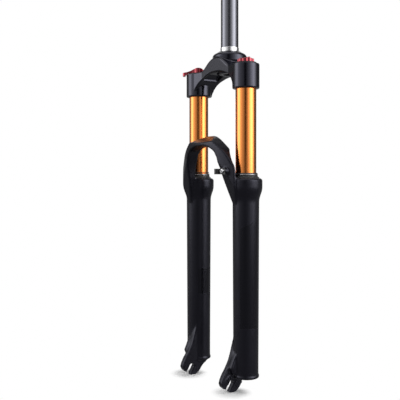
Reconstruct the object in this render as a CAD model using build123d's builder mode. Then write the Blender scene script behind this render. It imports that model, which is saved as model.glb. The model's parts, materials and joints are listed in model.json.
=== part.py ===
"""Air-sprung suspension fork for a 27.5-inch mountain bike: 120 mm of travel, 32 mm stanchions.

Millimetres. The origin is on the steerer axis, in the plane that the headset's crown race sits on.
+Z runs up the steerer, -Y is the way the bicycle rides, and +X is the rider's left.
The left leg holds the air spring and the right leg holds the damper with its lockout.
The fork stands at full extension.
"""

from build123d import *

import os
from math import cos, radians, sin

# ---- driving dimensions ----
AXLE_TO_CROWN = 515.0
LEG_X = 65.0  # steerer axis to each leg axis, sideways
CROWN_OFFSET = 17.0  # the legs stand this far in front of the steerer
DROPOUT_OFFSET = 23.0  # the axle sits this far in front of the legs
HUB_WIDTH = 100.0
FIT = 0.05  # radial clearance of a sliding fit

STEERER_R = 14.3
STEERER_BORE_R = 11.8
STEERER_TOP_Z = 225.0
STEERER_FOOT_Z = -36.0
RACE_SEAT_R = 15.0
RACE_SEAT_H = 7.0
STEERER_PRESS_R = 14.7  # foot of the steerer, pressed into the crown

BOSS_R = 28.0  # round top of the crown, under the headset
ARM_FRONT_Y = -30.0
SOCKET_R = 20.8
SOCKET_TOP_Z = -29.5
SOCKET_FOOT_Z = -67.5

STANCHION_R = 16.0
STANCHION_BORE_R = 14.0
STANCHION_FOOT_Z = -352.0

CAP_TOP_Z = SOCKET_TOP_Z + 2.2
CAP_FLANGE_R = 16.6
CAP_FOOT_Z = -48.0
CAP_SEAL_Z = -42.0

SLEEVE_R = 25.3  # thick top of each lower leg, around the seals
SLEEVE_TOP_Z = -202.8
LEG_TOP_R = 20.4
LEG_FOOT_R = 19.2
LEG_FOOT_Z = -507.0
LEG_FLOOR_Z = -500.0
LEG_BORE_R = 17.0
LEG_BORE_FOOT_Z = -474.0
LEG_WELL_R = 12.0  # narrow end of the bore, round the rod's foot
SEAL_SEAT_R = 20.5
SEAL_SEAT_Z = -220.0
FOAM_R = 19.4
FOAM_FOOT_Z = -228.0
BOLT_SEAT_Z = -504.5
BOLT_SEAT_R = 9.0

ARCH_LIP_Y = -61.5  # foremost point of the arch
ARCH_PLAN_R = 160.0  # its front is rounded in plan
ARCH_REAR_Y = -35.0
ARCH_SCOOP_R = 24.6  # its back is scooped clear of the stanchions and crown

DROPOUT_T = 9.0
WEB_T = 8.0  # the web between leg and dropout stands this far out from the dropout
AXLE_SLOT_R = 4.6
AXLE_SLOT_LEAN = 32.0  # the slots open downwards and this many degrees forwards

ROD_R = 5.0
ROD_STUB_R = 4.0  # thinner top of each rod, inside its piston
SEAL_HEAD_TOP_Z = -330.0
SEAL_HEAD_FOOT_Z = -346.0
PISTON_R = 13.7
PISTON_FOOT_Z = -312.0
PISTON_TOP_Z = -298.0
FOOT_BOLT_R = 4.0

VALVE_R = 3.85
VALVE_TOP_Z = -23.2
VALVE_FOOT_Z = -52.0
VALVE_SEAT_Z = -37.0
LOCKOUT_SHAFT_R = 4.0
CARRIER_FOOT_Z = -118.0
VALVE_BODY_H = 14.0
AIR_CAP_TOP_Z = -21.6
KNOB_R = 12.6
LEVER_TURNED = 34.0  # degrees that the lockout lever points forward of straight out
LEVER_HUB_R = 9.5
LEVER_TAB_R = 27.0
LEVER_GAP = 0.3
LEVER_SCREW_TOP_Z = -18.7

ROD_SEAL_R = 7.6
ROD_SEAL_Z = -337.0
ROD_SEAL_HALF_H = 1.5
AIR_GROOVE = (-306.5, -303.5, 11.4)  # foot, top and floor radius
DAMPER_GROOVE = (-306.2, -303.8, 12.2)
DAMPER_PORTS = 6
BUSHING_H = 20.0
UPPER_BUSHING_FOOT_Z = -252.0
LOWER_BUSHING_FOOT_Z = -342.0

SEAL_LIP_R = 17.4
SEAL_TOP_Z = -195.8
GARTER_Z = -198.2
GARTER_WIRE_R = 0.6
CAP_SEAL_WIRE_R = 0.9
TRAVEL_RING_WIRE_R = 0.7
TRAVEL_RING_Z = -194.2

CLIP_X = 60.0  # bolt of the hose clip, on the arch's left foot
CLIP_Z = -193.0
CLIP_BOLT_R = 1.9
CLIP_BOSS_ROOT_Y = -44.0
CLIP_FACE_Y = -55.5
CLIP_T = 2.4
HOSE_R = 2.6
HOSE_X = 47.5
HOSE_Y = -58.5

WASHER_T = 0.8
BOLT_HEAD_R = 6.5
BOLT_HEAD_H = 5.2

LEG_Y = -CROWN_OFFSET
AXLE_Y = LEG_Y - DROPOUT_OFFSET
AXLE_Z = -AXLE_TO_CROWN
SIDES = {"left": 1, "right": -1}
LEG_AXES = [(LEG_X, LEG_Y), (-LEG_X, LEG_Y)]

os.makedirs("parts", exist_ok=True)


def save(piece, label):
    piece.part.label = label
    export_step(piece.part, f"parts/{label}.step")


def leg_plane(side):
    """Upright plane across a leg: local x is the distance from the leg's axis, local y is height."""
    origin = (SIDES[side] * LEG_X, LEG_Y, 0)
    return Plane(origin=origin, x_dir=(1, 0, 0), z_dir=(0, -1, 0))


def clip_plane(y):
    """Upright plane across the hose clip's bolt, facing forwards."""
    return Plane(origin=(CLIP_X, y, CLIP_Z), x_dir=(1, 0, 0), z_dir=(0, -1, 0))


def turn(outline, plane):
    """Turns a closed outline of (radius, height) points about the plane's upright, in the open part."""
    with BuildSketch(plane) as profile:
        with BuildLine():
            Polyline(*outline, close=True)
        make_face()
    revolve(profile.sketch, axis=Axis(plane.origin, (0, 0, 1)))


def turned(outline, plane):
    """A whole piece turned from one outline."""
    with BuildPart() as piece:
        turn(outline, plane)
    return piece


def ring(plane, inner, outer, low, high):
    """A plain ring with a rectangular section."""
    return turned([(inner, low), (outer, low), (outer, high), (inner, high)], plane)


def round_ring(plane, radius, wire, height):
    """A ring with a round section: an o-ring or a garter spring."""
    with BuildPart() as piece:
        with BuildSketch(plane):
            with Locations((radius, height)):
                Circle(wire)
        revolve(axis=Axis(plane.origin, (0, 0, 1)))
    return piece


# ---- crown and steerer ----
def make_steerer_tube():
    bevel = 0.7
    butt_r = STEERER_BORE_R - 1.2
    outline = [
        (STEERER_BORE_R, STEERER_TOP_Z),
        (STEERER_R - bevel, STEERER_TOP_Z),
        (STEERER_R, STEERER_TOP_Z - bevel),
        (STEERER_R, RACE_SEAT_H + bevel),
        (RACE_SEAT_R, RACE_SEAT_H),
        (RACE_SEAT_R, 0),
        (STEERER_PRESS_R, 0),
        (STEERER_PRESS_R, STEERER_FOOT_Z),
        (butt_r, STEERER_FOOT_Z),
        (butt_r, 30),
        (STEERER_BORE_R, 50),
    ]
    return turned(outline, Plane.XZ)


def make_crown():
    arm_reach = 60
    boss_foot_z = -17
    hub_r = STEERER_BORE_R + 7.6
    web = 4.5
    boss_outline = [
        (0, 0),
        (18, 0),
        (21, -1.4),
        (BOSS_R - 3, -3.4),
        (BOSS_R - 1, -5.2),
        (BOSS_R, -7.6),
        (BOSS_R, boss_foot_z),
        (0, boss_foot_z),
    ]
    with BuildPart() as crown:
        # the arms from the front
        with BuildSketch(Plane.XZ):
            with BuildLine():
                Spline((0, -10.5), (14, -13), (26, -20.5), (36, -27.3), (46, SOCKET_TOP_Z))
                Polyline(
                    (46, SOCKET_TOP_Z), (LEG_X, SOCKET_TOP_Z), (LEG_X, SOCKET_FOOT_Z), (57, SOCKET_FOOT_Z),
                )
                Spline((57, SOCKET_FOOT_Z), (50, -54.5), (42, -46), (22, -36), (0, -33))
                Line((0, -33), (0, -10.5))
            make_face()
            mirror(about=Plane.YZ)
        extrude(amount=arm_reach, both=True)
        # and from above
        with BuildSketch(Plane.XY.offset(SOCKET_FOOT_Z)):
            with BuildLine():
                Polyline(
                    (0, ARM_FRONT_Y), (38, ARM_FRONT_Y), (LEG_X, LEG_Y - SOCKET_R), (LEG_X, LEG_Y + SOCKET_R),
                )
                Spline((LEG_X, LEG_Y + SOCKET_R), (46, 7), (26, 16), (0, 21))
                Line((0, 21), (0, ARM_FRONT_Y))
            make_face()
            mirror(about=Plane.YZ)
        extrude(amount=90, mode=Mode.INTERSECT)
        long_edges = crown.edges().filter_by(lambda e: e.length > 40 and abs(e.center().X) > 5)
        fillet(long_edges.filter_by(lambda e: e.center().Y < -20), 2.5)
        # hollow underside on each side of the steerer
        for side in SIDES.values():
            with BuildSketch(Plane.XZ.offset(-3)):
                Polygon(
                    (side * 21, -75), (side * 21, -25), (side * 31, -30.5), (side * 39, -38),
                    (side * 42, -75),
                    align=None,
                )
            extrude(amount=3 - ARM_FRONT_Y - web, mode=Mode.SUBTRACT)
        # hub that the steerer is pressed into, and the round top over it
        with BuildSketch(Plane.XY.offset(STEERER_FOOT_Z)):
            Circle(hub_r)
        extrude(amount=-STEERER_FOOT_Z)
        turn(boss_outline, Plane.XZ)
        # stanchion sockets
        with BuildSketch(Plane.XY.offset(SOCKET_FOOT_Z)):
            with Locations(*LEG_AXES):
                Circle(SOCKET_R)
        extrude(amount=SOCKET_TOP_Z - SOCKET_FOOT_Z)
        with BuildSketch(Plane.XY.offset(SOCKET_FOOT_Z)):
            with Locations(*LEG_AXES):
                Circle(STANCHION_R)
        extrude(amount=SOCKET_TOP_Z - SOCKET_FOOT_Z, mode=Mode.SUBTRACT)
        with BuildSketch(Plane.XY.offset(STEERER_FOOT_Z)):
            Circle(STEERER_PRESS_R)
        extrude(amount=-STEERER_FOOT_Z, mode=Mode.SUBTRACT)
        rims = crown.edges().filter_by(GeomType.CIRCLE).filter_by(lambda e: abs(e.radius - SOCKET_R) < 0.01)
        chamfer(rims.filter_by(lambda e: abs(e.center().Z - SOCKET_FOOT_Z) < 0.1), 0.9)
    return crown


def make_stanchion(side):
    groove_foot_z = SEAL_HEAD_FOOT_Z - 1.4
    bevel = 0.8
    outline = [
        (STANCHION_BORE_R, SOCKET_TOP_Z),
        (STANCHION_R, SOCKET_TOP_Z),
        (STANCHION_R, STANCHION_FOOT_Z + bevel),
        (STANCHION_R - bevel, STANCHION_FOOT_Z),
        (STANCHION_BORE_R, STANCHION_FOOT_Z),
        (STANCHION_BORE_R, groove_foot_z),
        (STANCHION_BORE_R + 0.8, groove_foot_z),
        (STANCHION_BORE_R + 0.8, SEAL_HEAD_FOOT_Z),
        (STANCHION_BORE_R, SEAL_HEAD_FOOT_Z),
    ]
    return turned(outline, leg_plane(side))


# ---- top caps and what they carry ----
def make_top_cap(side, bore_r):
    """Threaded cap with a flange, an o-ring groove and two spanner holes."""
    bevel = 0.7
    groove_r = STANCHION_BORE_R - 1.8
    outline = [
        (bore_r, CAP_TOP_Z),
        (CAP_FLANGE_R - bevel, CAP_TOP_Z),
        (CAP_FLANGE_R, CAP_TOP_Z - bevel),
        (CAP_FLANGE_R, SOCKET_TOP_Z),
        (STANCHION_BORE_R, SOCKET_TOP_Z),
        (STANCHION_BORE_R, CAP_SEAL_Z + 1),
        (groove_r, CAP_SEAL_Z + 1),
        (groove_r, CAP_SEAL_Z - 1),
        (STANCHION_BORE_R, CAP_SEAL_Z - 1),
        (STANCHION_BORE_R, CAP_FOOT_Z),
        (bore_r, CAP_FOOT_Z),
    ]
    with BuildPart() as cap:
        turn(outline, leg_plane(side))
        with BuildSketch(Plane((SIDES[side] * LEG_X, LEG_Y, CAP_TOP_Z))):
            with PolarLocations(CAP_FLANGE_R - 1.9, 2, start_angle=60):
                Circle(0.8)
        extrude(amount=-1.5, mode=Mode.SUBTRACT)
    return cap


def make_air_valve_stem():
    outline = [
        (1.0, VALVE_TOP_Z),
        (VALVE_R - 0.4, VALVE_TOP_Z),
        (VALVE_R, VALVE_TOP_Z - 0.4),
        (VALVE_R, VALVE_FOOT_Z),
        (1.7, VALVE_FOOT_Z),
        (1.7, VALVE_SEAT_Z),
        (1.0, VALVE_SEAT_Z),
    ]
    return turned(outline, leg_plane("left"))


def make_valve_core_pin():
    """Thin rod with a poppet at its foot, which closes the valve from below."""
    outline = [
        (0, VALVE_TOP_Z - 0.4),
        (0.6, VALVE_TOP_Z - 0.4),
        (0.6, VALVE_SEAT_Z - 0.1),
        (1.4, VALVE_SEAT_Z - 0.1),
        (1.4, VALVE_SEAT_Z - 2),
        (0, VALVE_SEAT_Z - 2),
    ]
    return turned(outline, leg_plane("left"))


def make_air_cap():
    """Scalloped cover that screws onto the air valve, with a finger bar across its top."""
    skirt_foot_z = CAP_TOP_Z + 0.3
    roof = 1.3
    with BuildPart() as air_cap:
        with BuildSketch(Plane((LEG_X, LEG_Y, skirt_foot_z))):
            Circle(KNOB_R)
            with PolarLocations(KNOB_R + 2.6, 8, start_angle=22.5):
                Circle(4.2, mode=Mode.SUBTRACT)
        extrude(amount=AIR_CAP_TOP_Z - skirt_foot_z)
        fillet(air_cap.faces().sort_by(Axis.Z)[-1].edges(), 1.0)
        with BuildSketch(Plane((LEG_X, LEG_Y, skirt_foot_z))):
            Circle(9.6)
            Circle(6.2, mode=Mode.SUBTRACT)
        extrude(amount=AIR_CAP_TOP_Z - skirt_foot_z - roof, mode=Mode.SUBTRACT)
        with BuildSketch(Plane((LEG_X, LEG_Y, skirt_foot_z))):
            Circle(VALVE_R + 0.3)
        extrude(amount=VALVE_TOP_Z + 0.3 - skirt_foot_z, mode=Mode.SUBTRACT)
        with BuildSketch(Plane((LEG_X, LEG_Y, AIR_CAP_TOP_Z))):
            SlotOverall(19, 3.6)
        extrude(amount=2.2)
        fillet(air_cap.faces().sort_by(Axis.Z)[-1].edges(), 0.8)
    return air_cap


def make_lockout_lever():
    """Hub over the right cap, and an arm that drops over the socket's edge to a thumb tab."""
    hub_foot_z = CAP_TOP_Z + LEVER_GAP
    rim_z = SOCKET_TOP_Z + LEVER_GAP
    across, along = sin(radians(LEVER_TURNED)), cos(radians(LEVER_TURNED))
    point = Plane(origin=(-LEG_X, LEG_Y, 0), x_dir=(-across, -along, 0), z_dir=(-along, across, 0))
    with BuildPart() as lockout_lever:
        with BuildSketch(point):
            with BuildLine():
                Polyline(
                    (-LEVER_HUB_R, -23.4), (-LEVER_HUB_R, hub_foot_z), (17.4, hub_foot_z), (18.5, rim_z),
                    (21.8, rim_z), (22.6, -31.8), (LEVER_TAB_R, -31.8), (LEVER_TAB_R, -26.2),
                )
                Spline(
                    (LEVER_TAB_R, -26.2), (19, -24.6), (12, -22), (5, -18.9), (-2, -18.6),
                    (-LEVER_HUB_R, -23.4),
                )
            make_face()
        extrude(amount=12, both=True)
        with BuildSketch(Plane(origin=(-LEG_X, LEG_Y, -40), x_dir=point.x_dir, z_dir=(0, 0, 1))):
            Circle(LEVER_HUB_R)
            with BuildLine():
                Polyline((0, 8.6), (12, 5.2), (19, 4.2), (19, -4.2), (12, -5.2), (0, -8.6), close=True)
            make_face()
            with Locations((22.6, 0)):
                Circle(4.9)
        extrude(amount=40, mode=Mode.INTERSECT)
        with BuildSketch(Plane((-LEG_X, LEG_Y, 0))):
            Circle(3.7)
        extrude(amount=-21, mode=Mode.SUBTRACT)
        with BuildSketch(Plane((-LEG_X, LEG_Y, 0))):
            Circle(2.6)
        extrude(amount=-40, mode=Mode.SUBTRACT)
    return lockout_lever


def make_lever_screw():
    """Button-head screw with a hexagon socket."""
    outline = [
        (0, -27.2),
        (1.5, -27.2),
        (1.5, -21),
        (3.4, -21),
        (3.4, -19.6),
        (2.2, LEVER_SCREW_TOP_Z),
        (0, LEVER_SCREW_TOP_Z),
    ]
    with BuildPart() as screw:
        turn(outline, leg_plane("right"))
        with BuildSketch(Plane((-LEG_X, LEG_Y, LEVER_SCREW_TOP_Z))):
            RegularPolygon(1.35, 6)
        extrude(amount=-1.4, mode=Mode.SUBTRACT)
    return screw


def make_lockout_shaft():
    """Turns the valve: its top plugs into the lever's hub, and its foot is slotted."""
    foot_z = CARRIER_FOOT_Z + 1
    outline = [
        (1.5, -21.1),
        (2.6, -21.1),
        (2.6, CAP_TOP_Z + LEVER_GAP),
        (LOCKOUT_SHAFT_R, CAP_TOP_Z + LEVER_GAP),
        (LOCKOUT_SHAFT_R, foot_z),
        (0, foot_z),
        (0, -32),
        (1.5, -32),
    ]
    with BuildPart() as shaft:
        turn(outline, leg_plane("right"))
        with BuildSketch(Plane((-LEG_X, LEG_Y, foot_z))):
            Rectangle(1.6, 3 * LOCKOUT_SHAFT_R)
        extrude(amount=3, mode=Mode.SUBTRACT)
    return shaft


def make_compression_valve():
    """Carrier tube under the right cap, with the drilled valve body at its foot."""
    body_foot_z = CARRIER_FOOT_Z - VALVE_BODY_H
    bore_r = LOCKOUT_SHAFT_R + FIT
    outline = [
        (bore_r, CAP_FOOT_Z),
        (7, CAP_FOOT_Z),
        (7, CARRIER_FOOT_Z),
        (STANCHION_BORE_R - FIT, CARRIER_FOOT_Z),
        (STANCHION_BORE_R - FIT, body_foot_z),
        (2, body_foot_z),
        (2, CARRIER_FOOT_Z),
        (bore_r, CARRIER_FOOT_Z),
    ]
    with BuildPart() as valve:
        turn(outline, leg_plane("right"))
        with BuildSketch(Plane((-LEG_X, LEG_Y, CARRIER_FOOT_Z))):
            with PolarLocations(10.2, 6):
                Circle(1.8)
        extrude(amount=-VALVE_BODY_H, mode=Mode.SUBTRACT)
    return valve


# ---- inside the stanchions' feet ----
def make_seal_head(side):
    bore_r = ROD_R + FIT
    outline = [
        (bore_r, SEAL_HEAD_TOP_Z),
        (STANCHION_BORE_R, SEAL_HEAD_TOP_Z),
        (STANCHION_BORE_R, SEAL_HEAD_FOOT_Z),
        (bore_r, SEAL_HEAD_FOOT_Z),
        (bore_r, ROD_SEAL_Z - ROD_SEAL_HALF_H),
        (ROD_SEAL_R, ROD_SEAL_Z - ROD_SEAL_HALF_H),
        (ROD_SEAL_R, ROD_SEAL_Z + ROD_SEAL_HALF_H),
        (bore_r, ROD_SEAL_Z + ROD_SEAL_HALF_H),
    ]
    return turned(outline, leg_plane(side))


def make_circlips():
    """Snap ring under each seal head, open in front, with two plier eyes."""
    outer_r = STANCHION_BORE_R + 0.7
    with BuildPart() as circlips:
        with BuildSketch(Plane.XY.offset(SEAL_HEAD_FOOT_Z - 1.3)):
            with Locations(*LEG_AXES):
                Circle(outer_r)
                Circle(outer_r - 2.2, mode=Mode.SUBTRACT)
            with Locations((LEG_X, LEG_Y - outer_r), (-LEG_X, LEG_Y - outer_r)):
                Rectangle(7, 8, mode=Mode.SUBTRACT)
            for x, y in LEG_AXES:
                with Locations((x - 4.6, y - outer_r + 3.6), (x + 4.6, y - outer_r + 3.6)):
                    Circle(1.9)
                    Circle(0.8, mode=Mode.SUBTRACT)
        extrude(amount=1.2)
    return circlips


def make_rod(side):
    """Rod with a thinner top for its piston and a threaded foot for its bolt."""
    outline = [
        (0, PISTON_TOP_Z),
        (ROD_STUB_R, PISTON_TOP_Z),
        (ROD_STUB_R, PISTON_FOOT_Z),
        (ROD_R, PISTON_FOOT_Z),
        (ROD_R, LEG_FLOOR_Z),
        (FOOT_BOLT_R, LEG_FLOOR_Z),
        (FOOT_BOLT_R, LEG_FLOOR_Z + 24),
        (0, LEG_FLOOR_Z + 24),
    ]
    return turned(outline, leg_plane(side))


def make_piston(side, groove, ports):
    """Piston with a groove round it; the damper's is drilled through for its oil."""
    low, high, groove_r = groove
    outline = [
        (ROD_STUB_R, PISTON_TOP_Z),
        (PISTON_R, PISTON_TOP_Z),
        (PISTON_R, high),
        (groove_r, high),
        (groove_r, low),
        (PISTON_R, low),
        (PISTON_R, PISTON_FOOT_Z),
        (ROD_STUB_R, PISTON_FOOT_Z),
    ]
    with BuildPart() as piston:
        turn(outline, leg_plane(side))
        if ports:
            with BuildSketch(Plane((SIDES[side] * LEG_X, LEG_Y, PISTON_TOP_Z))):
                with PolarLocations(8.2, ports):
                    Circle(1.7)
            extrude(amount=PISTON_FOOT_Z - PISTON_TOP_Z, mode=Mode.SUBTRACT)
    return piston


# ---- lower legs ----
def make_lower_casting():
    with BuildPart() as casting:
        # arch from the front: a horseshoe that runs down the front of each leg
        with BuildSketch(Plane.XZ.offset(-LEG_Y)):
            with BuildLine():
                Spline(
                    (0, -136), (20, -139.7), (31, -146), (44, -154.8), (56, -165.5), (66.5, -181),
                    (72.3, -204),
                    tangents=((1, 0), (0, -1)),
                )
                Polyline((72.3, -204), (72.3, -222), (66, -245), (58.5, -245), (47, -204))
                Spline(
                    (47, -204), (44.8, -188), (41.2, -174), (34.5, -162.5), (20, -155.2), (0, -153),
                    tangents=((-0.1, 1), (-1, 0)),
                )
                Line((0, -153), (0, -136))
            make_face()
            mirror(about=Plane.YZ)
        extrude(amount=50)
        # from above: rounded in front
        with BuildSketch(Plane.XY.offset(-250)):
            with Locations((0, ARCH_LIP_Y + ARCH_PLAN_R)):
                Circle(ARCH_PLAN_R)
        extrude(amount=130, mode=Mode.INTERSECT)
        # from the side: the top falls to the front lip, and the foot runs back into the leg
        with BuildSketch(Plane.YZ):
            with BuildLine():
                Polyline((LEG_Y, -245), (LEG_Y, -128), (-34.7, -136), (-62, -148.6))
                Spline(
                    (-62, -148.6), (-60, -165), (-53, -187), (-48, -204), (-42.8, -224), (-37.5, -243),
                    tangents=((-0.05, -1), (0.3, -1)),
                )
                Line((-37.5, -243), (LEG_Y, -245))
            make_face()
        extrude(amount=100, both=True, mode=Mode.INTERSECT)
        # back of the arch, clear of the crown and the stanchions
        with BuildSketch(Plane.XY.offset(SLEEVE_TOP_Z)):
            with Locations((0, ARCH_REAR_Y + 50)):
                Rectangle(200, 100)
            with Locations(*LEG_AXES):
                Circle(ARCH_SCOOP_R)
        extrude(amount=80, mode=Mode.SUBTRACT)
        # legs
        for side in SIDES:
            plane = leg_plane(side)
            with BuildSketch(plane):
                with BuildLine():
                    Polyline(
                        (0, SLEEVE_TOP_Z), (SEAL_SEAT_R, SLEEVE_TOP_Z), (SLEEVE_R - 0.8, -205.4),
                        (SLEEVE_R, -206.4),
                    )
                    Line((SLEEVE_R, -206.4), (SLEEVE_R, -217))
                    Spline((SLEEVE_R, -217), (LEG_TOP_R, -240), tangents=((0, -1), (0, -1)))
                    Polyline(
                        (LEG_TOP_R, -240), (LEG_FOOT_R, -495), (LEG_FOOT_R, -502.4),
                        (LEG_FOOT_R + 0.9, -503.4),
                        (LEG_FOOT_R + 0.9, LEG_FOOT_Z + 0.8), (LEG_FOOT_R, LEG_FOOT_Z), (0, LEG_FOOT_Z),
                        (0, SLEEVE_TOP_Z),
                    )
                make_face()
            revolve(axis=Axis(plane.origin, (0, 0, 1)))
        # dropout plates, from the side
        for inner_x in (HUB_WIDTH / 2, -HUB_WIDTH / 2 - DROPOUT_T):
            with BuildSketch(Plane.YZ.offset(inner_x)):
                with BuildLine():
                    Spline((-28, -440), (-36, -466), (-42.5, -484), (-50, -496.5), (-57, -509))
                    Spline((-57, -509), (-57.6, -515.5), (-53, -521.5), tangents=((-0.3, -1), (1, -0.6)))
                    Polyline((-53, -521.5), (-45, -529), (-33, -529))
                    Spline((-33, -529), (-26, -525), (-21, -518.5), (-13, -512))
                    Polyline((-13, -512), (-6, LEG_FOOT_Z + 2), (-10, -440), (-28, -440))
                make_face()
            extrude(amount=DROPOUT_T)
        # webs that run from each leg out to its dropout
        for inner_x in (HUB_WIDTH / 2 + DROPOUT_T, -HUB_WIDTH / 2 - DROPOUT_T - WEB_T):
            with BuildSketch(Plane.YZ.offset(inner_x)):
                Polygon(
                    (-24, -446), (-33, -462), (-40.5, -478), (-46, -490), (-41.5, -500.6), (-30, -504),
                    (LEG_Y, -506), (LEG_Y, -446),
                    align=None,
                )
            extrude(amount=WEB_T)
        # raised rings round the axle slots, for the skewer's nut to bite on
        for out in SIDES.values():
            face_x = out * (HUB_WIDTH / 2 + DROPOUT_T)
            with BuildSketch(Plane(origin=(face_x, AXLE_Y, AXLE_Z), x_dir=(0, 1, 0), z_dir=(out, 0, 0))):
                Circle(12.4)
                Circle(11.2, mode=Mode.SUBTRACT)
                Circle(9.6)
                Circle(8.4, mode=Mode.SUBTRACT)
            extrude(amount=0.8)
        # axle slots, open downwards and forwards
        with BuildSketch(Plane.YZ.offset(-LEG_X)):
            with Locations((AXLE_Y, AXLE_Z)):
                Circle(AXLE_SLOT_R)
            with Locations(Location((AXLE_Y, AXLE_Z, 0), (0, 0, -AXLE_SLOT_LEAN))):
                Rectangle(2 * AXLE_SLOT_R, 30, align=(Align.CENTER, Align.MAX))
        extrude(amount=2 * LEG_X, mode=Mode.SUBTRACT)
        # boss for the hose clip
        with BuildSketch(clip_plane(CLIP_BOSS_ROOT_Y)):
            Circle(4.6)
        extrude(amount=CLIP_BOSS_ROOT_Y - CLIP_FACE_Y)
        with BuildSketch(clip_plane(CLIP_BOSS_ROOT_Y + 1)):
            Circle(CLIP_BOLT_R)
        extrude(amount=30, mode=Mode.SUBTRACT)
        # bores, seal seats and bolt holes
        for side in SIDES:
            plane = leg_plane(side)
            with BuildSketch(plane):
                with BuildLine():
                    Polyline(
                        (0, SLEEVE_TOP_Z + 2), (SEAL_SEAT_R, SLEEVE_TOP_Z + 2), (SEAL_SEAT_R, SEAL_SEAT_Z),
                        (FOAM_R, SEAL_SEAT_Z), (FOAM_R, FOAM_FOOT_Z), (LEG_BORE_R, FOAM_FOOT_Z),
                        (LEG_BORE_R, LEG_BORE_FOOT_Z), (LEG_WELL_R, LEG_BORE_FOOT_Z - 3),
                        (LEG_WELL_R, LEG_FLOOR_Z), (FOOT_BOLT_R + 0.2, LEG_FLOOR_Z),
                        (FOOT_BOLT_R + 0.2, BOLT_SEAT_Z), (BOLT_SEAT_R, BOLT_SEAT_Z),
                        (BOLT_SEAT_R, AXLE_Z), (0, AXLE_Z), (0, SLEEVE_TOP_Z + 2),
                    )
                make_face()
            revolve(axis=Axis(plane.origin, (0, 0, 1)), mode=Mode.SUBTRACT)
    return casting


def make_wiper_seal(side):
    """Pressed into the leg: a flange, a groove for its garter spring and a thin wiping lip."""
    lip_r = STANCHION_R + FIT
    outline = [
        (lip_r, SEAL_TOP_Z - 0.6),
        (lip_r + 0.6, SEAL_TOP_Z),
        (SEAL_LIP_R, SEAL_TOP_Z),
        (SEAL_LIP_R + 0.5, GARTER_Z + 1),
        (SEAL_LIP_R, GARTER_Z + GARTER_WIRE_R),
        (SEAL_LIP_R, GARTER_Z - GARTER_WIRE_R),
        (SEAL_LIP_R + 0.6, GARTER_Z - 1),
        (SEAL_LIP_R + 1, -201.2),
        (SEAL_SEAT_R, SLEEVE_TOP_Z),
        (SEAL_SEAT_R, SEAL_SEAT_Z),
        (lip_r + 1.8, SEAL_SEAT_Z),
        (lip_r + 1, -214),
        (lip_r, -213),
        (lip_r, -211),
        (lip_r + 1, -210),
        (lip_r + 1, -199),
    ]
    return turned(outline, leg_plane(side))


# ---- hose clip ----
def make_hose_clip():
    """Plate under the bolt, with an open ring beside it that the brake hose snaps into."""
    height = 8.4
    foot = Plane((0, 0, CLIP_Z - height / 2 - 0.8))
    with BuildPart() as hose_clip:
        with BuildSketch(foot):
            with Locations(((CLIP_X + HOSE_X) / 2 + 2, CLIP_FACE_Y - CLIP_T / 2)):
                Rectangle(CLIP_X - HOSE_X + 4, CLIP_T)
            with Locations((HOSE_X, HOSE_Y)):
                Circle(HOSE_R + 2)
                Circle(HOSE_R, mode=Mode.SUBTRACT)
            with Locations(Location((HOSE_X, HOSE_Y, 0), (0, 0, -34))):
                Rectangle(3.6, 9, align=(Align.CENTER, Align.MAX), mode=Mode.SUBTRACT)
        extrude(amount=height)
        with BuildSketch(clip_plane(CLIP_FACE_Y)):
            Circle(4.4)
        extrude(amount=CLIP_T)
        with BuildSketch(clip_plane(CLIP_FACE_Y)):
            Circle(CLIP_BOLT_R)
        extrude(amount=CLIP_T, mode=Mode.SUBTRACT)
    return hose_clip


def make_hose_clip_bolt():
    """Button-head bolt with a hexagon socket."""
    under_head = clip_plane(CLIP_FACE_Y - CLIP_T)
    head_h = 2.2
    with BuildPart() as bolt:
        with BuildSketch(under_head):
            Circle(3.5)
        extrude(amount=head_h)
        fillet(bolt.faces().sort_by(Axis.Y)[0].edges(), 1.2)
        with BuildSketch(under_head.offset(head_h)):
            RegularPolygon(1.5, 6)
        extrude(amount=-1.6, mode=Mode.SUBTRACT)
        with BuildSketch(under_head):
            Circle(CLIP_BOLT_R)
        extrude(amount=-12)
    return bolt


# ---- foot bolts ----
def make_crush_washers():
    with BuildPart() as washers:
        with BuildSketch(Plane.XY.offset(BOLT_SEAT_Z - WASHER_T)):
            with Locations(*LEG_AXES):
                Circle(BOLT_HEAD_R + 1)
                Circle(FOOT_BOLT_R + 0.2, mode=Mode.SUBTRACT)
        extrude(amount=WASHER_T)
    return washers


def make_foot_bolts():
    """Bolts with hexagon sockets, up through the legs' floors into the rods."""
    head_top_z = BOLT_SEAT_Z - WASHER_T
    socket_depth = 3.2
    with BuildPart() as bolts:
        with BuildSketch(Plane.XY.offset(head_top_z - BOLT_HEAD_H)):
            with Locations(*LEG_AXES):
                Circle(BOLT_HEAD_R)
        extrude(amount=BOLT_HEAD_H)
        chamfer(bolts.edges().filter_by(GeomType.CIRCLE).group_by(Axis.Z)[0], 0.7)
        with BuildSketch(Plane.XY.offset(head_top_z - BOLT_HEAD_H)):
            with Locations(*LEG_AXES):
                RegularPolygon(2.9, 6)
        extrude(amount=socket_depth, mode=Mode.SUBTRACT)
        with BuildSketch(Plane.XY.offset(head_top_z)):
            with Locations(*LEG_AXES):
                Circle(FOOT_BOLT_R)
        extrude(amount=22)
    return bolts


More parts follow.
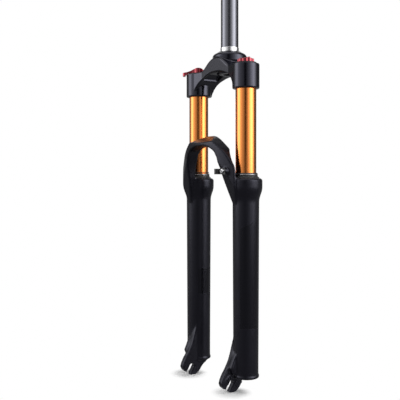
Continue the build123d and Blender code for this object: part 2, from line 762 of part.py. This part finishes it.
# ---- write every piece ----
save(make_steerer_tube(), "steerer_tube")
save(make_crown(), "crown")
save(make_top_cap("left", VALVE_R), "air_top_cap")
save(make_top_cap("right", LOCKOUT_SHAFT_R + FIT), "damper_top_cap")
save(make_air_valve_stem(), "air_valve_stem")
save(make_valve_core_pin(), "valve_core_pin")
save(make_air_cap(), "air_cap")
save(make_lockout_lever(), "lockout_lever")
save(make_lever_screw(), "lever_screw")
save(make_lockout_shaft(), "lockout_shaft")
save(make_compression_valve(), "compression_valve")
save(make_circlips(), "circlips")
save(make_lower_casting(), "lower_casting")
save(make_hose_clip(), "hose_clip")
save(make_hose_clip_bolt(), "hose_clip_bolt")
save(make_crush_washers(), "crush_washers")
save(make_foot_bolts(), "foot_bolts")
save(make_rod("left"), "air_shaft")
save(make_rod("right"), "damper_rod")
save(make_piston("left", AIR_GROOVE, 0), "air_piston")
save(make_piston("right", DAMPER_GROOVE, DAMPER_PORTS), "damper_piston")

for side in SIDES:
    leg = leg_plane(side)
    save(make_stanchion(side), f"stanchion_{side}")
    save(make_seal_head(side), f"{'air' if side == 'left' else 'damper'}_seal_head")
    save(make_wiper_seal(side), f"wiper_seal_{side}")
    save(round_ring(leg, SEAL_LIP_R + GARTER_WIRE_R, GARTER_WIRE_R, GARTER_Z), f"garter_spring_{side}")
    oring = round_ring(leg, STANCHION_BORE_R - CAP_SEAL_WIRE_R, CAP_SEAL_WIRE_R, CAP_SEAL_Z)
    save(oring, f"top_cap_oring_{side}")
    rod_seal_foot_z, rod_seal_top_z = ROD_SEAL_Z - ROD_SEAL_HALF_H, ROD_SEAL_Z + ROD_SEAL_HALF_H
    save(ring(leg, ROD_R + FIT, ROD_SEAL_R, rod_seal_foot_z, rod_seal_top_z), f"rod_seal_{side}")
    save(ring(leg, ROD_R + 0.5, 11, SEAL_HEAD_TOP_Z, PISTON_FOOT_Z - 1.5), f"top_out_bumper_{side}")
    save(ring(leg, STANCHION_R + 0.3, FOAM_R, FOAM_FOOT_Z, SEAL_SEAT_Z), f"foam_ring_{side}")
    for name, foot_z in (("upper", UPPER_BUSHING_FOOT_Z), ("lower", LOWER_BUSHING_FOOT_Z)):
        bushing = ring(leg, STANCHION_R + FIT, LEG_BORE_R, foot_z, foot_z + BUSHING_H)
        save(bushing, f"bushing_{name}_{side}")

left_leg = leg_plane("left")
right_leg = leg_plane("right")
save(ring(left_leg, AIR_GROOVE[2], STANCHION_BORE_R - FIT, *AIR_GROOVE[:2]), "air_piston_seal")
save(ring(right_leg, DAMPER_GROOVE[2], STANCHION_BORE_R - FIT, *DAMPER_GROOVE[:2]), "damper_piston_ring")
save(ring(left_leg, ROD_R + 0.1, 11, LEG_FLOOR_Z, LEG_BORE_FOOT_Z + 5), "bottom_out_bumper")
travel_ring = round_ring(right_leg, STANCHION_R + TRAVEL_RING_WIRE_R + FIT, TRAVEL_RING_WIRE_R, TRAVEL_RING_Z)
save(travel_ring, "travel_ring")
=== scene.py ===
"""Looks of the suspension fork: painted castings, gold stanchions, red controls and a pale studio."""

import json
import math

import bpy
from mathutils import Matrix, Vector


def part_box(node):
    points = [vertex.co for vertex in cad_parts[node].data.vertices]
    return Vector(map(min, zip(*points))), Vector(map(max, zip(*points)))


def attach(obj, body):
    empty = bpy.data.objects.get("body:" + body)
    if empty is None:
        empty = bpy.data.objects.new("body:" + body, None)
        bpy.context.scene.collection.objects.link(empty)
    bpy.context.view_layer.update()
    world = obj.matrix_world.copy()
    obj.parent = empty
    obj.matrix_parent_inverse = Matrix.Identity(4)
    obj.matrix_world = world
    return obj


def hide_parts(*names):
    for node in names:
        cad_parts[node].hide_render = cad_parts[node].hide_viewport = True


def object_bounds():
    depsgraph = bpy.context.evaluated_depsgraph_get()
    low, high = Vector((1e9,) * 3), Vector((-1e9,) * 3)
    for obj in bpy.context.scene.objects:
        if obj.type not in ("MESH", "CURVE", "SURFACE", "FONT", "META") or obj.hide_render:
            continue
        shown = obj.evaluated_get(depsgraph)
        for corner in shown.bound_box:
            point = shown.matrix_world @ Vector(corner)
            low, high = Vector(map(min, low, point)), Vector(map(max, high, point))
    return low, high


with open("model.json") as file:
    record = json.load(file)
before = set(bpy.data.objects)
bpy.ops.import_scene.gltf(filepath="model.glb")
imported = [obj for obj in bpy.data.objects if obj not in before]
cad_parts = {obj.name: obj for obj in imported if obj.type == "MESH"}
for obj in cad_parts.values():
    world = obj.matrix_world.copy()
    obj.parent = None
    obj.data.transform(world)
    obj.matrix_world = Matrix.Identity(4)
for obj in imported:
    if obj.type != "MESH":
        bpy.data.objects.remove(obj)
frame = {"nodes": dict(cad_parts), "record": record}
cad_low, cad_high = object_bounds()
nodes = frame["nodes"]

MM = 0.001
MOST_TRIANGLES = 190000


def middle(node):
    """Centre of a CAD node's box."""
    low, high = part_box(node)
    return (Vector(low) + Vector(high)) / 2


LEFT_LEG = middle("stanchion_left")
RIGHT_LEG = middle("stanchion_right")
RACE_SEAT_H = 7 * MM
FLOOR_Z = cad_low[2]

# the axle's middle, the dropouts' outer faces, and how far the axle slots lean forwards
AXLE = Vector((0, -0.040, -0.515))
DROPOUT_FACE_X = 0.059
SLOT_LEAN = math.radians(32)

# the way the camera looks, level, and the heading from the fork back to the camera
LOOK_X, LOOK_Y = -0.8320, 0.5548
CAMERA_HEADING = math.atan2(-LOOK_Y, -LOOK_X)


# ---- shader nodes ----
def new_group(name, inputs, outputs):
    """A node group with float inputs, given as name: default, and named outputs."""
    tree = bpy.data.node_groups.new(name, "ShaderNodeTree")
    for label, value in inputs.items():
        socket = tree.interface.new_socket(name=label, in_out="INPUT", socket_type="NodeSocketFloat")
        socket.default_value = value
    for label in outputs:
        tree.interface.new_socket(name=label, in_out="OUTPUT", socket_type="NodeSocketFloat")
    return tree, tree.nodes.new("NodeGroupInput"), tree.nodes.new("NodeGroupOutput")


def add(tree, kind, **settings):
    """A new node of this kind, with its settings."""
    made = tree.nodes.new(kind)
    for key, value in settings.items():
        setattr(made, key, value)
    return made


def feed(tree, socket, value):
    """Joins a socket to another one, or sets its number."""
    if isinstance(value, bpy.types.NodeSocket):
        tree.links.new(value, socket)
    else:
        socket.default_value = value


def math_node(tree, operation, first, second=0.0, third=0.0, clamp=False):
    """Output of a Math node whose inputs are sockets or numbers."""
    made = add(tree, "ShaderNodeMath", operation=operation, use_clamp=clamp)
    for socket, value in zip(made.inputs, (first, second, third)):
        feed(tree, socket, value)
    return made.outputs[0]


def map_range(tree, value, from_low, from_high, to_low=0.0, to_high=1.0, smooth=False):
    """Output of a Map Range node, clamped at both ends."""
    made = add(tree, "ShaderNodeMapRange", interpolation_type="SMOOTHSTEP" if smooth else "LINEAR")
    feed(tree, made.inputs["Value"], value)
    feed(tree, made.inputs["From Min"], from_low)
    feed(tree, made.inputs["From Max"], from_high)
    feed(tree, made.inputs["To Min"], to_low)
    feed(tree, made.inputs["To Max"], to_high)
    return made.outputs["Result"]


def varied(tree, cloud, low, high):
    """A number that runs from low to high over most of a noise's range."""
    return map_range(tree, cloud, 0.3, 0.7, low, high)


def object_position(tree):
    """The point in the piece's own frame, in metres."""
    return add(tree, "ShaderNodeTexCoord").outputs["Object"]


def noise(tree, vector, scale, detail=2.0, roughness=0.5):
    """Soft noise from 0 to 1 that changes about scale times in each unit of the vector."""
    made = add(tree, "ShaderNodeTexNoise")
    feed(tree, made.inputs["Vector"], vector)
    feed(tree, made.inputs["Scale"], scale)
    feed(tree, made.inputs["Detail"], detail)
    feed(tree, made.inputs["Roughness"], roughness)
    return made.outputs["Fac"]


def stretched(tree, vector, scale):
    """The vector multiplied by a number along each axis."""
    made = add(tree, "ShaderNodeMapping")
    feed(tree, made.inputs["Vector"], vector)
    made.inputs["Scale"].default_value = scale
    return made.outputs["Vector"]


def separate(tree, vector):
    """A vector's outputs X, Y and Z."""
    made = add(tree, "ShaderNodeSeparateXYZ")
    feed(tree, made.inputs[0], vector)
    return made.outputs


def distance(tree, first, second):
    """Length of a flat vector from its two sides."""
    first_square = math_node(tree, "POWER", first, 2.0)
    second_square = math_node(tree, "POWER", second, 2.0)
    return math_node(tree, "SQRT", math_node(tree, "ADD", first_square, second_square))


# how often each kind of mark repeats in a metre; rings are close in height and long round the piece
RING_SCALE = (60, 60, 5200)
METAL_CLOUD_SCALE = 34.0
PEEL_SCALE = 520.0
PAINT_CLOUD_SCALE = 22.0
NIB_SCALE = 260.0


def make_turning_marks():
    """Fine rings left by a lathe or a polishing belt, round Z, and slow cloudy variation."""
    tree, given, out = new_group("Turning Marks", {"Fineness": 1.0}, ("Rings", "Cloud"))
    where = object_position(tree)
    rings = noise(tree, stretched(tree, where, RING_SCALE), given.outputs["Fineness"], detail=3.0)
    cloud = noise(tree, where, METAL_CLOUD_SCALE, detail=3.0)
    feed(tree, out.inputs["Rings"], rings)
    feed(tree, out.inputs["Cloud"], cloud)
    return tree


def make_paint_skin():
    """Orange peel, dust nibs and cloudy gloss of sprayed paint."""
    tree, given, out = new_group("Paint Skin", {"Peel Size": 1.0, "Nibs": 0.02}, ("Peel", "Cloud", "Nib"))
    where = object_position(tree)
    peel_scale = math_node(tree, "DIVIDE", PEEL_SCALE, given.outputs["Peel Size"])
    peel = noise(tree, where, peel_scale, roughness=0.4)
    cloud = noise(tree, where, PAINT_CLOUD_SCALE, detail=4.0, roughness=0.55)
    cells = add(tree, "ShaderNodeTexVoronoi", feature="F1")
    feed(tree, cells.inputs["Vector"], where)
    feed(tree, cells.inputs["Scale"], NIB_SCALE)
    nib = math_node(tree, "LESS_THAN", cells.outputs["Distance"], given.outputs["Nibs"])
    feed(tree, out.inputs["Peel"], peel)
    feed(tree, out.inputs["Cloud"], cloud)
    feed(tree, out.inputs["Nib"], nib)
    return tree


# how wide a panel's edge fades, a leg's radius, and how far from a leg's middle its surface may be
PANEL_EDGE = 0.35 * MM
LEG_R = 20 * MM
LEG_REACH = 30 * MM


def make_leg_panel():
    """Mask of a gloss panel wrapped on a leg: 1 inside, with a slanted top."""
    labels = ("Leg X", "Leg Y", "Facing", "Half Angle", "Top", "Foot", "Slant")
    tree, given, out = new_group("Leg Panel", dict.fromkeys(labels, 0.0), ("Mask",))
    place = separate(tree, object_position(tree))
    across = math_node(tree, "SUBTRACT", place["X"], given.outputs["Leg X"])
    along = math_node(tree, "SUBTRACT", place["Y"], given.outputs["Leg Y"])
    on_this_leg = math_node(tree, "LESS_THAN", distance(tree, across, along), LEG_REACH)
    angle = math_node(tree, "SUBTRACT", math_node(tree, "ARCTAN2", along, across), given.outputs["Facing"])
    turn = math_node(tree, "WRAP", angle, math.pi, -math.pi)
    side_room = math_node(tree, "SUBTRACT", given.outputs["Half Angle"], math_node(tree, "ABSOLUTE", turn))
    sides = map_range(tree, side_room, 0.0, PANEL_EDGE / LEG_R)
    top = math_node(tree, "MULTIPLY_ADD", turn, given.outputs["Slant"], given.outputs["Top"])
    under = map_range(tree, math_node(tree, "SUBTRACT", top, place["Z"]), 0.0, PANEL_EDGE)
    over = map_range(tree, math_node(tree, "SUBTRACT", place["Z"], given.outputs["Foot"]), 0.0, PANEL_EDGE)
    band = math_node(tree, "MULTIPLY", under, over)
    mask = math_node(tree, "MULTIPLY", math_node(tree, "MULTIPLY", sides, band), on_this_leg, clamp=True)
    feed(tree, out.inputs["Mask"], mask)
    return tree


TURNING_MARKS = make_turning_marks()
PAINT_SKIN = make_paint_skin()
LEG_PANEL = make_leg_panel()


def use_group(tree, group, **values):
    """Outputs of a node group, placed with its own values."""
    made = add(tree, "ShaderNodeGroup", node_tree=group)
    for label, value in values.items():
        made.inputs[label.replace("_", " ")].default_value = value
    return made.outputs


def new_material(name, **principled):
    """A material whose uniform numbers sit on the shader's own sockets."""
    material = bpy.data.materials.new(name)
    material.use_nodes = True
    shader = material.node_tree.nodes["Principled BSDF"]
    for label, value in principled.items():
        shader.inputs[label.replace("_", " ")].default_value = value
    return material, material.node_tree, shader


def mix_colour(tree, mask, first, second):
    """The first colour where the mask is 0 and the second where it is 1: sockets or red, green and blue."""
    made = add(tree, "ShaderNodeMix", data_type="RGBA")
    feed(tree, made.inputs["Factor"], mask)
    for label, colour in (("A", first), ("B", second)):
        is_socket = isinstance(colour, bpy.types.NodeSocket)
        feed(tree, made.inputs[label], colour if is_socket else (*colour, 1))
    return made.outputs["Result"]


def mix_number(tree, mask, first, second):
    """The first number where the mask is 0 and the second where it is 1."""
    made = add(tree, "ShaderNodeMix", data_type="FLOAT")
    feed(tree, made.inputs["Factor"], mask)
    feed(tree, made.inputs["A"], first)
    feed(tree, made.inputs["B"], second)
    return made.outputs["Result"]


def bump(tree, shader, height, depth):
    """Raises the surface by up to depth where height is 1."""
    made = add(tree, "ShaderNodeBump")
    feed(tree, made.inputs["Height"], height)
    feed(tree, made.inputs["Distance"], depth)
    made.inputs["Strength"].default_value = 1.0
    feed(tree, shader.inputs["Normal"], made.outputs["Normal"])


TURNING_DEPTH = 0.001 * MM
LEG_PEEL_DEPTH = 0.03 * MM
CROWN_PEEL_DEPTH = 0.015 * MM


def turned_metal(name, dark, light, low, high, depth=TURNING_DEPTH, **principled):
    """Metal finished on a lathe: two colours, and a roughness from low to high, that vary with the rings."""
    material, tree, shader = new_material(name, Metallic=1.0, **principled)
    marks = use_group(tree, TURNING_MARKS)
    feed(tree, shader.inputs["Base Color"], mix_colour(tree, marks["Rings"], dark, light))
    rough = map_range(tree, math_node(tree, "ADD", marks["Rings"], marks["Cloud"]), 0.7, 1.3, low, high)
    feed(tree, shader.inputs["Roughness"], rough)
    bump(tree, shader, marks["Rings"], depth)
    return material


def moulded(name, dark, light, low, high, grain=900.0, depth=0.02 * MM):
    """Moulded rubber or plastic: cloudy colour and roughness, and grain that repeats so often in a metre."""
    material, tree, shader = new_material(name)
    where = object_position(tree)
    fine = noise(tree, where, grain, detail=3.0)
    cloud = noise(tree, where, 60.0, detail=3.0)
    feed(tree, shader.inputs["Base Color"], mix_colour(tree, cloud, dark, light))
    feed(tree, shader.inputs["Roughness"], varied(tree, cloud, low, high))
    bump(tree, shader, fine, depth)
    return material


PAINT_TINT = (0.80, 0.80, 1.0, 1)

# gloss panels: heading of the middle and half of the wrap, in radians, then heights of the two ends
LEFT_PANEL = dict(Facing=-0.33, Half_Angle=0.8, Top=-0.272, Foot=-0.43, Slant=0.010)
RIGHT_PANEL = dict(Facing=-0.1, Half_Angle=0.56, Top=-0.354, Foot=-0.396, Slant=0.0)


def leg_paint():
    """Satin black paint with glossier tone-on-tone panels."""
    material, tree, shader = new_material("leg_paint", Specular_IOR_Level=0.34, Specular_Tint=PAINT_TINT)
    skin = use_group(tree, PAINT_SKIN)
    on_left = use_group(tree, LEG_PANEL, Leg_X=LEFT_LEG.x, Leg_Y=LEFT_LEG.y, **LEFT_PANEL)
    on_right = use_group(tree, LEG_PANEL, Leg_X=RIGHT_LEG.x, Leg_Y=RIGHT_LEG.y, **RIGHT_PANEL)
    panel = math_node(tree, "MAXIMUM", on_left["Mask"], on_right["Mask"])
    satin = mix_colour(tree, skin["Cloud"], (0.0026, 0.0025, 0.0042), (0.0042, 0.004, 0.0066))
    feed(tree, shader.inputs["Base Color"], mix_colour(tree, panel, satin, (0.0018, 0.0018, 0.0026)))
    rough = varied(tree, skin["Cloud"], 0.30, 0.37)
    feed(tree, shader.inputs["Roughness"], mix_number(tree, panel, rough, 0.25))
    half_nib = math_node(tree, "MULTIPLY", skin["Nib"], 0.5)
    bump(tree, shader, math_node(tree, "ADD", skin["Peel"], half_nib), LEG_PEEL_DEPTH)
    return material


def crown_paint():
    """Satin charcoal paint on the forged crown."""
    material, tree, shader = new_material("crown_paint", Specular_IOR_Level=0.55, Specular_Tint=PAINT_TINT)
    skin = use_group(tree, PAINT_SKIN, Peel_Size=0.8)
    colour = mix_colour(tree, skin["Cloud"], (0.0026, 0.0026, 0.0042), (0.0042, 0.0042, 0.0066))
    feed(tree, shader.inputs["Base Color"], colour)
    feed(tree, shader.inputs["Roughness"], varied(tree, skin["Cloud"], 0.13, 0.19))
    bump(tree, shader, skin["Peel"], CROWN_PEEL_DEPTH)
    return material


def steerer_finish():
    """Gunmetal anodising on the tube, and the bare turned crown race seat at its foot."""
    material, tree, shader = new_material("steerer_finish", Metallic=1.0)
    marks = use_group(tree, TURNING_MARKS, Fineness=0.8)
    height = separate(tree, object_position(tree))["Z"]
    under_tube = math_node(tree, "LESS_THAN", height, RACE_SEAT_H + 0.5 * MM)
    over_crown = math_node(tree, "GREATER_THAN", height, -1 * MM)
    seat = math_node(tree, "MULTIPLY", under_tube, over_crown)
    tube = mix_colour(tree, marks["Rings"], (0.13, 0.132, 0.15), (0.17, 0.172, 0.195))
    bare = mix_colour(tree, marks["Rings"], (0.62, 0.62, 0.64), (0.86, 0.86, 0.87))
    feed(tree, shader.inputs["Base Color"], mix_colour(tree, seat, tube, bare))
    feed(tree, shader.inputs["Roughness"], varied(tree, marks["Cloud"], 0.22, 0.28))
    bump(tree, shader, marks["Rings"], TURNING_DEPTH)
    return material


def gold_anodising():
    """Polished, dyed gold stanchion."""
    return turned_metal(
        "gold_anodising", (0.74, 0.215, 0.03), (0.80, 0.25, 0.04), 0.19, 0.25, depth=0.0008 * MM,
        Coat_Weight=0.8, Coat_Roughness=0.18,
    )


def red_anodising():
    """Dyed red air cap and lockout lever."""
    return turned_metal(
        "red_anodising", (0.27, 0.018, 0.03), (0.34, 0.028, 0.045), 0.26, 0.36,
        Coat_Weight=0.8, Coat_Roughness=0.2,
    )


# the record's material slots
FINISHES = {
    "gunmetal": steerer_finish(),
    "crown_black": crown_paint(),
    "lower_black": leg_paint(),
    "gold_anodised": gold_anodising(),
    "red_anodised": red_anodising(),
    "black_anodised": turned_metal("black_anodising", (0.02, 0.02, 0.022), (0.05, 0.05, 0.055), 0.25, 0.4),
    "plain_aluminium": turned_metal("turned_aluminium", (0.6, 0.61, 0.63), (0.8, 0.8, 0.82), 0.25, 0.4),
    "steel": turned_metal("zinc_plating", (0.5, 0.5, 0.52), (0.7, 0.7, 0.72), 0.2, 0.35),
    "hard_chrome": turned_metal("hard_chrome", (0.7, 0.7, 0.72), (0.82, 0.82, 0.84), 0.06, 0.12),
    "brass": turned_metal("turned_brass", (0.6, 0.42, 0.16), (0.75, 0.55, 0.22), 0.25, 0.35),
    "black_rubber": moulded("black_rubber", (0.012, 0.012, 0.013), (0.022, 0.022, 0.024), 0.42, 0.6),
    "bush_plastic": moulded("bush_plastic", (0.32, 0.26, 0.15), (0.4, 0.33, 0.2), 0.45, 0.6),
    "foam": moulded(
        "oiled_foam", (0.05, 0.05, 0.055), (0.1, 0.1, 0.11), 0.7, 0.9, grain=1500.0, depth=0.2 * MM
    ),
    "black_plastic": moulded("black_nylon", (0.012, 0.012, 0.013), (0.02, 0.02, 0.022), 0.35, 0.5),
    "piston_plastic": moulded("filled_nylon", (0.03, 0.03, 0.032), (0.05, 0.05, 0.053), 0.4, 0.55),
}


def paint(piece, finish):
    """Gives a piece one material all over."""
    piece.data.materials.clear()
    piece.data.materials.append(finish)


for part in frame["record"]["subparts"]:
    paint(nodes[part["node"]], FINISHES[part["material_slot"]])


# ---- castings: merged copies of the CAD, with a casting's soft corners ----
def only(piece):
    """Selects one object and makes it active."""
    bpy.ops.object.select_all(action="DESELECT")
    piece.select_set(True)
    bpy.context.view_layer.objects.active = piece


def apply_modifier(piece, kind, name, **settings):
    """Adds a modifier with these settings and applies it."""
    only(piece)
    modifier = piece.modifiers.new(name, kind)
    for key, value in settings.items():
        setattr(modifier, key, value)
    bpy.ops.object.modifier_apply(modifier=name)


def softened(node, name, voxel, rounds, light_rounds, body, keep_sharp):
    """A closed, evenly meshed copy of a CAD casting, smoothed except where keep_sharp says."""
    piece = nodes[node].copy()
    piece.data = nodes[node].data.copy()
    piece.name = piece.data.name = name
    # the copy is a piece of its own, without the CAD node's parent and notes
    piece.parent = None
    for key in list(piece.keys()):
        del piece[key]
    bpy.context.scene.collection.objects.link(piece)
    only(piece)
    bpy.ops.object.mode_set(mode="EDIT")
    bpy.ops.mesh.select_all(action="SELECT")
    bpy.ops.mesh.remove_doubles(threshold=0.005 * MM)
    bpy.ops.object.mode_set(mode="OBJECT")
    apply_modifier(piece, "REMESH", "even_mesh", mode="VOXEL", voxel_size=voxel)
    soft = piece.vertex_groups.new(name="soft")
    for vertex in piece.data.vertices:
        if not keep_sharp(vertex.co):
            soft.add([vertex.index], 1.0, "REPLACE")
    apply_modifier(piece, "SMOOTH", "soft_corners", factor=0.5, iterations=rounds, vertex_group="soft")
    apply_modifier(piece, "SMOOTH", "mesh_steps", factor=0.5, iterations=light_rounds)
    share = MOST_TRIANGLES / (2 * len(piece.data.polygons))
    if share < 1:
        apply_modifier(piece, "DECIMATE", "fewer_triangles", ratio=share)
    bpy.ops.object.shade_smooth()
    piece.vertex_groups.clear()
    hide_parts(node)
    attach(piece, body)


FEET_TOP_Z = -498 * MM
SHOULDER_FOOT_Z = -1.5 * MM


def leg_keeps(point):
    """The legs' feet keep the edges of their bolt seats and axle slots."""
    return point.z < FEET_TOP_Z


def crown_keeps(point):
    """The crown's round top keeps its flat race shoulder."""
    return point.z > SHOULDER_FOOT_Z


softened(
    "lower_casting", "lower_legs_casting", voxel=1.2 * MM, rounds=8, light_rounds=2,
    body="lower_legs", keep_sharp=leg_keeps,
)
softened(
    "crown", "crown_forging", voxel=0.8 * MM, rounds=9, light_rounds=2,
    body="crown_assembly", keep_sharp=crown_keeps,
)


# ---- cast ribs on the dropouts' outer faces ----
# how far across from the slot, where along it, and how long, in mm, for each rib
RIBS = [(-8.2, 1.5, 10), (-5.7, 2.5, 15), (6.0, -1.5, 17), (8.6, 0.5, 14), (11.2, 3.0, 9)]
RIB_THICKNESS = 3.2 * MM
RIB_WIDTH = 1.4 * MM
RIB_ROUND = 0.5 * MM
RIB_SINK = 0.1 * MM


def make_dropout_ribs(side, out):
    """Rounded bars that run the same way as the axle slot, on the face whose outward way is +1 or -1 in X."""
    bars = []
    for across, along, length in RIBS:
        bpy.ops.object.select_all(action="DESELECT")
        bpy.ops.mesh.primitive_cube_add(size=1)
        bar = bpy.context.object
        bpy.ops.object.mode_set(mode="EDIT")
        bpy.ops.mesh.select_all(action="SELECT")
        bpy.ops.transform.resize(value=(RIB_THICKNESS, RIB_WIDTH, length * MM))
        bpy.ops.mesh.bevel(offset=RIB_ROUND, segments=3, affect="EDGES")
        place = AXLE + Vector((out * (DROPOUT_FACE_X - RIB_SINK), 0, 0))
        place.y += (across * math.cos(SLOT_LEAN) + along * math.sin(SLOT_LEAN)) * MM
        place.z += (along * math.cos(SLOT_LEAN) - across * math.sin(SLOT_LEAN)) * MM
        bpy.ops.transform.rotate(value=SLOT_LEAN, orient_axis="X", center_override=(0, 0, 0))
        bpy.ops.transform.translate(value=place)
        bpy.ops.object.mode_set(mode="OBJECT")
        bars.append(bar)
    bpy.ops.object.select_all(action="DESELECT")
    for bar in bars:
        bar.select_set(True)
    bpy.context.view_layer.objects.active = bars[0]
    bpy.ops.object.join()
    ribs = bars[0]
    ribs.name = ribs.data.name = f"dropout_ribs_{side}"
    bpy.ops.object.shade_smooth_by_angle(angle=math.radians(40))
    paint(ribs, FINISHES["lower_black"])
    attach(ribs, "lower_legs")


make_dropout_ribs("left", 1)
make_dropout_ribs("right", -1)


# ---- camera, floor and lights ----
def make_camera():
    """Level with the seals, from the rider's left and front."""
    data = bpy.data.cameras.new("camera")
    data.lens = 58.7
    data.sensor_width = 36
    data.shift_y = -0.0543
    data.clip_start = 0.05
    camera = bpy.data.objects.new("camera", data)
    camera.location = (0.855, -0.628, -0.204)
    camera.rotation_euler = (math.radians(90), 0, math.atan2(-LOOK_X, LOOK_Y))
    bpy.context.scene.collection.objects.link(camera)
    bpy.context.scene.camera = camera


# the floor turns from really lit and shaded to a painted white glow between these distances from the
# dropouts, seen from above, so its shadows show only near the dropouts
SHADED_R = 14 * MM
WHITE_R = 34 * MM
# how bright the painted white glow is to everything but the camera, which it lights as a lamp would
FLOOR_GLOW = 0.25


def make_floor():
    """Pale floor, lit and shaded near the dropouts, that turns away from them to a painted white glow as
    bright as the background.
    """
    bpy.ops.mesh.primitive_plane_add(size=30, location=(0, 0, FLOOR_Z))
    floor = bpy.context.object
    floor.name = "floor"
    material, tree, shader = new_material("pale_floor", Roughness=0.95)
    shader.inputs["Specular IOR Level"].default_value = 0.0
    where = object_position(tree)
    shade = noise(tree, where, 3.0)
    feed(tree, shader.inputs["Base Color"], mix_colour(tree, shade, (0.90, 0.90, 0.90), (0.93, 0.93, 0.93)))
    place = separate(tree, where)
    aside = math_node(tree, "SUBTRACT", math_node(tree, "ABSOLUTE", place["X"]), DROPOUT_FACE_X)
    ahead = math_node(tree, "SUBTRACT", place["Y"], AXLE.y)
    away = map_range(tree, distance(tree, aside, ahead), SHADED_R, WHITE_R, smooth=True)
    # painted light: the floor glows white, at full strength to the camera and at FLOOR_GLOW to everything
    # else
    white = add(tree, "ShaderNodeEmission")
    white.inputs["Color"].default_value = (1, 1, 1, 1)
    seen = add(tree, "ShaderNodeLightPath").outputs["Is Camera Ray"]
    feed(tree, white.inputs["Strength"], mix_number(tree, seen, FLOOR_GLOW, 1.0))
    both = add(tree, "ShaderNodeMixShader")
    feed(tree, both.inputs[0], away)
    tree.links.new(shader.outputs[0], both.inputs[1])
    tree.links.new(white.outputs[0], both.inputs[2])
    tree.links.new(both.outputs[0], tree.nodes["Material Output"].inputs["Surface"])
    paint(floor, material)


def make_softbox(name, place, target, size, watts):
    """A square lamp that shines at a point and isn't mirrored in the metals."""
    data = bpy.data.lights.new(name, "AREA")
    data.shape = "RECTANGLE"
    data.size = data.size_y = size
    data.energy = watts
    lamp = bpy.data.objects.new(name, data)
    lamp.location = place
    lamp.rotation_euler = (Vector(target) - Vector(place)).to_track_quat("-Z", "Y").to_euler()
    lamp.visible_glossy = False
    bpy.context.scene.collection.objects.link(lamp)


# brightness of the studio round the fork: degrees to the right of the camera, strength
STUDIO = [
    (-180, 0.8), (-162, 0.7), (-146, 0.10), (-124, 0.15), (-110, 0.9), (-98, 3.4), (-82, 3.6), (-66, 1.6),
    (-44, 0.85), (-24, 0.5), (-14, 0.02), (-4, 0.02), (8, 0.5), (28, 1.4), (44, 3.4), (62, 5.4), (76, 4.0),
    (90, 0.9), (106, 0.10), (146, 0.10), (162, 0.7), (180, 0.8),
]
# sines of the heights between which the panels fade, up and down, and what is left of them past those
PANEL_FADE = (0.45, 0.8)
PANEL_REST = 0.15
# the same for the ceiling, and its strength
CEILING_FADE = (0.8, 0.95)
CEILING = 1.3


def make_world():
    """White to look at; tall soft panels on both sides, and a dark gap at the camera, to reflect."""
    world = bpy.data.worlds.new("studio")
    bpy.context.scene.world = world
    world.use_nodes = True
    tree = world.node_tree
    background = tree.nodes["Background"]
    way = separate(tree, add(tree, "ShaderNodeTexCoord").outputs["Generated"])
    heading = math_node(tree, "ARCTAN2", way["Y"], way["X"])
    aside = math_node(tree, "WRAP", math_node(tree, "SUBTRACT", heading, CAMERA_HEADING), math.pi, -math.pi)
    ramp = add(tree, "ShaderNodeValToRGB")
    feed(tree, ramp.inputs[0], map_range(tree, aside, -math.pi, math.pi))
    ramp.color_ramp.interpolation = "EASE"
    stops = ramp.color_ramp.elements
    brightest = max(strength for _, strength in STUDIO)
    for degrees, _ in STUDIO[1:-1]:
        stops.new((degrees + 180) / 360)
    for stop, (degrees, strength) in zip(stops, STUDIO):
        stop.position = (degrees + 180) / 360
        stop.color = (*[strength / brightest] * 3, 1)
    panels = math_node(tree, "MULTIPLY", ramp.outputs["Color"], brightest)
    tall = map_range(tree, math_node(tree, "ABSOLUTE", way["Z"]), *PANEL_FADE, 1.0, PANEL_REST, smooth=True)
    ceiling = map_range(tree, way["Z"], *CEILING_FADE, 0.0, CEILING, smooth=True)
    glow = math_node(tree, "MULTIPLY_ADD", panels, tall, ceiling)
    seen = add(tree, "ShaderNodeLightPath").outputs["Is Camera Ray"]
    feed(tree, background.inputs["Strength"], mix_number(tree, seen, glow, 1.0))
    background.inputs["Color"].default_value = (1, 1, 1, 1)


bpy.context.scene.view_settings.view_transform = "Standard"
make_camera()
make_floor()
make_world()
make_softbox("top_box", place=(0, 0.10, 1.3), target=(0, AXLE.y, FLOOR_Z), size=0.2, watts=20)
